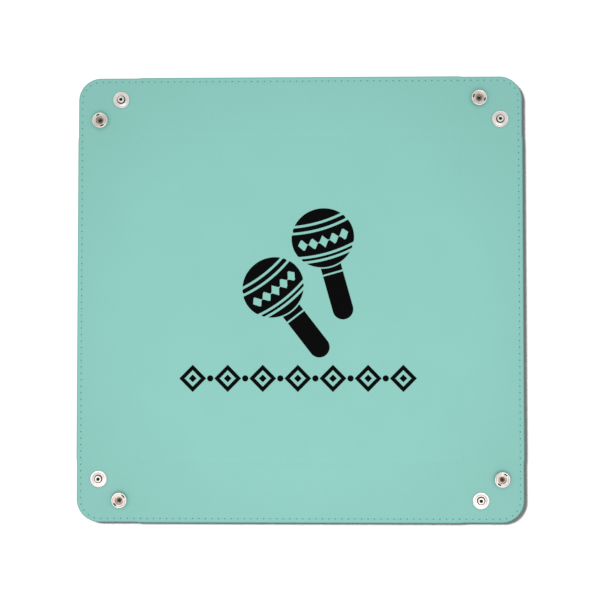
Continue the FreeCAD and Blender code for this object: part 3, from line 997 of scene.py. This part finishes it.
# A rattle: its ball's stripes and its row of diamonds (half width, half height, pitch) are shares
# of the ball's radius, from the far side toward the handle.
BALL_SQUASH = 0.94
BALL_BANDS = ((-1.2, -0.66), (-0.58, -0.44), (0.44, 0.52), (0.60, 1.2))
MIDDLE_BAND = 0.36
DIAMONDS = 5
DIAMOND_SHARES = (0.15, 0.2, 0.34)
HANDLE_GAP = 0.7
COLLAR = 3.2
COLLAR_GAP = 0.9
RATTLE_RADIUS = 16.1
RIGHT_RATTLE = (11.9, 31.2, 15.7, RATTLE_RADIUS, (5.3, 15.2, 43.3))
LEFT_RATTLE = (-13.6, 5.8, 37.7, RATTLE_RADIUS, (5.3, 15.2, 44.0))
BAND_MIDDLE = (-0.9, -40.8)
LOZENGES = 7
LOZENGE_PITCH = 17.95


def slice_of_ball(parts, radius, low, high, place, bow=0.12):
    """A band of a disc between two bowed lines."""
    reach = radius * 0.9995
    us = reach * np.sin(np.linspace(-math.pi / 2, math.pi / 2, 49))
    edge = BALL_SQUASH * np.sqrt(np.maximum(radius**2 - us**2, 0))
    bend = bow * radius * (1 - (us / radius) ** 2)

    def curve(level):
        if np.isscalar(level):
            level = np.full(us.shape, level)
        return np.clip(level + bend, -edge, edge)

    a, b = curve(low(us) if callable(low) else low), curve(high(us) if callable(high) else high)
    wide = np.where(b - a > THINNEST_INK)[0]
    if len(wide) < 3:
        return
    keep = slice(wide[0], wide[-1] + 1)
    ink_strip(parts, us[keep], a[keep], b[keep], place)


def diamonds(us, half_width, half_height, span):
    """The upper edge of a row of diamonds centred on the ball."""
    rise = np.zeros(us.shape)
    for i in range(DIAMONDS):
        centre = (i - (DIAMONDS - 1) / 2) * span
        rise = np.maximum(rise, half_height * (1 - np.abs(us - centre) / half_width))
    return np.maximum(rise, 0)


def rattle(cx, cy, degrees, radius, handle):
    """A plain ball rattle: stripes and a row of diamonds on the ball, a round-ended handle.
    The handle is its half width, start and end."""
    parts = ([], [])
    place = frame_at(cx, cy, degrees)
    for low, high in BALL_BANDS:
        slice_of_ball(parts, radius, radius * low, radius * high, place)

    def row(us):
        return diamonds(us, *(radius * share for share in DIAMOND_SHARES))

    middle = radius * MIDDLE_BAND
    slice_of_ball(parts, radius, -middle, lambda us: -row(us), place)
    slice_of_ball(parts, radius, row, middle, place)
    half, start, end = handle
    tip = end - half
    us = half * np.sin(np.linspace(-math.pi / 2, math.pi / 2, 33))
    collar = np.full(us.shape, start + COLLAR)
    ball_end = BALL_SQUASH * np.sqrt(radius**2 - us**2)
    ink_strip(parts, us, ball_end + HANDLE_GAP, collar, place)
    round_end = tip + np.sqrt(np.maximum(half**2 - us**2, 0)) + SLIVER
    ink_strip(parts, us, collar + COLLAR_GAP, round_end, place)
    return parts


def lozenge_row():
    """An ornamental band of framed lozenges and beads."""
    parts = ([], [])
    cx, cy = BAND_MIDDLE
    half, height, line = 6.9, 7.0, 2.8
    pip, bead_radius = 2.0, 1.6
    for i in range(LOZENGES):
        middle = cx + (i - (LOZENGES - 1) / 2) * LOZENGE_PITCH
        place = lambda u, v, m=middle: (m + u, cy + v)
        us = np.linspace(-half, half, 25)
        outer = height * (1 - np.abs(us) / half)
        inner = np.maximum((height - line) * (1 - np.abs(us) / (half - line)), 0)
        outer = np.maximum(outer, inner) + SLIVER
        ink_strip(parts, us, inner, outer, place)
        ink_strip(parts, us, -outer, -inner, place)
        us = np.linspace(-pip, pip, 9)
        edge = pip - np.abs(us) + SLIVER
        ink_strip(parts, us, -edge, edge, place)
        if i < LOZENGES - 1:
            bead = lambda u, v, m=middle + LOZENGE_PITCH / 2: (m + u, cy + v)
            us = bead_radius * np.sin(np.linspace(-math.pi / 2, math.pi / 2, 17))
            round_top = np.sqrt(np.maximum(bead_radius**2 - us**2, 0)) + SLIVER
            ink_strip(parts, us, -round_top, round_top, bead)
    return parts


def print_on_base(name, parts):
    vertices, faces = parts
    obj = new_object(name, vertices, faces, [INK], smooth_angle=50)
    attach(obj, "base")
    return obj


# ---------------------------------------------------------------- the tray


# Each sheet of leatherette: its name, its lower and upper faces and its material.
SKINS = (
    ("lining", lining_back, top_face, LINING),
    ("backing", under_face, backing_top, BACKING),
)


def make_base():
    for part, low, high, material in SKINS:
        obj = skin(f"base_{part}_panel", base_plan(), low, high, [material])
        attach(obj, "base")
        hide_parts(f"base_{part}")


def make_wall(quarter, side):
    plan = wall_plan(quarter)
    start = turn(quarter, [(0, -CREASE + FOLD_ZONE)])[0]
    end = turn(quarter, [(0, -CREASE - FOLD_ZONE)])[0]
    for part, low, high, material in SKINS:
        obj = skin(f"{side}_wall_{part}_panel", plan, low, high, [material])
        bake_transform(obj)
        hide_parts(f"{side}_wall_{part}")
    stitches = stitch_run(f"{side}_wall_stitches", wall_holes(), quarter)
    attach(stitches, f"{side}_wall")
    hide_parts(f"{side}_wall_stitching")


def make_corner(quarter, corner):
    plan = corner_plan(quarter)
    shift = DIAGONAL_ZONE / math.sqrt(2)
    start = turn(quarter, [(CORNER_MIDDLE - shift, -CORNER_MIDDLE - shift)])[0]
    end = turn(quarter, [(CORNER_MIDDLE + shift, -CORNER_MIDDLE + shift)])[0]
    stud_flap, socket_flap = f"{corner}_stud_flap", f"{corner}_socket_flap"

    def bend(obj):
        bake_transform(obj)

    for part, low, high, material in SKINS:
        obj = skin(f"{corner}_{part}_panel", plan, low, high, [material])
        bend(obj)
        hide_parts(f"{stud_flap}_{part}", f"{socket_flap}_{part}")
    stitches = stitch_run(f"{corner}_stitches", corner_holes(), quarter)
    bend(stitches)
    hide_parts(f"{stud_flap}_stitching", f"{socket_flap}_stitching")


def make_tray():
    make_base()
    for quarter, (side, corner) in enumerate(zip(SIDES, CORNERS)):
        make_wall(quarter, side)
        make_corner(quarter, corner)
        make_snaps(quarter, corner)
    print_on_base("rattle_right", rattle(*RIGHT_RATTLE))
    print_on_base("rattle_left", rattle(*LEFT_RATTLE))
    print_on_base("lozenge_band", lozenge_row())
    for name in ["base_board"] + [f"{side}_wall_board" for side in SIDES]:
        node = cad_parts[name]
        node.data.materials.clear()
        node.data.materials.append(BOARD)


# ---------------------------------------------------------------- studio

PICTURE_WIDTH = 0.3068
CAMERA_LEAN = (0.031, -0.047)
CAMERA_AIM = (0.2, -0.7)
LENS = 100.0
SENSOR = 36.0
FLOOR_SIZE = 6.0
FLOOR_LEVEL = -0.00005
FLOOR_TONE = (0.27, 0.27, 0.27)
KEY_POWER = 13.4
KEY_SPREAD = math.radians(15)
KEY_PLACE = (-1.0, 0.62, 1.5)
FILL_POWER = 2.1
FILL_SIZE = 0.6
FILL_PLACE = (0.0, -0.36, 0.66)
FILL_TARGET = (0.0, -0.05, 0.0)
FILL_TINT = (1.0, 0.83, 0.86)
WORLD_STRENGTH = 0.95


def aim(obj, target):
    """Points a light or camera at a target, with the picture's up along +Y."""
    forward = (Vector(target) - obj.location).normalized()
    right = forward.cross(Vector((0, 1, 0))).normalized()
    up = right.cross(forward)
    obj.matrix_world = Matrix.Translation(obj.location) @ Matrix(
        (right, up, -forward)
    ).transposed().to_4x4()


def make_floor():
    bpy.ops.mesh.primitive_plane_add(size=FLOOR_SIZE, location=(0, 0, FLOOR_LEVEL))
    floor = bpy.context.object
    floor.name = "floor"
    material, _, _, shader = new_material("white_floor")
    shader.inputs["Base Color"].default_value = (*FLOOR_TONE, 1)
    shader.inputs["Roughness"].default_value = 0.9
    shader.inputs["Specular IOR Level"].default_value = 0.0
    floor.data.materials.append(material)
    floor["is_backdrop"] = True
    return floor


def make_light(name, kind, energy, size, place, target):
    light = bpy.data.lights.new(name, kind)
    light.energy = energy
    if kind == "SUN":
        light.angle = size
    else:
        light.shape = "DISK"
        light.size = size
    obj = link(bpy.data.objects.new(name, light))
    obj.location = place
    aim(obj, target)
    obj.visible_camera = False
    return obj


def link_light(light, floor, state):
    """Lights the floor alone, or everything but the floor."""
    group = bpy.data.collections.new(f"{light.name}_receivers")
    group.objects.link(floor)
    light.light_linking.receiver_collection = group
    group.collection_objects[0].light_linking.link_state = state


def make_studio():
    floor = make_floor()
    key = make_light("shadow_key", "SUN", KEY_POWER, KEY_SPREAD, KEY_PLACE, (0, 0, 0))
    link_light(key, floor, "INCLUDE")
    fill = make_light("soft_fill", "AREA", FILL_POWER, FILL_SIZE, FILL_PLACE, FILL_TARGET)
    fill.data.color = FILL_TINT
    link_light(fill, floor, "EXCLUDE")

    world = bpy.data.worlds.new("studio")
    world.use_nodes = True
    background = world.node_tree.nodes["Background"]
    background.inputs["Color"].default_value = (1, 1, 1, 1)
    background.inputs["Strength"].default_value = WORLD_STRENGTH
    bpy.context.scene.world = world

    camera = bpy.data.cameras.new("camera")
    camera.lens = LENS
    camera.sensor_width = SENSOR
    camera_object = link(bpy.data.objects.new("camera", camera))
    away = PICTURE_WIDTH * camera.lens / camera.sensor_width
    camera_object.location = (away * CAMERA_LEAN[0], away * CAMERA_LEAN[1], away + TOP * MM)
    aim(camera_object, (CAMERA_AIM[0] * MM, CAMERA_AIM[1] * MM, TOP * MM))
    bpy.context.scene.camera = camera_object
    bpy.context.scene.view_settings.view_transform = "Standard"


make_tray()
make_studio()
low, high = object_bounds()
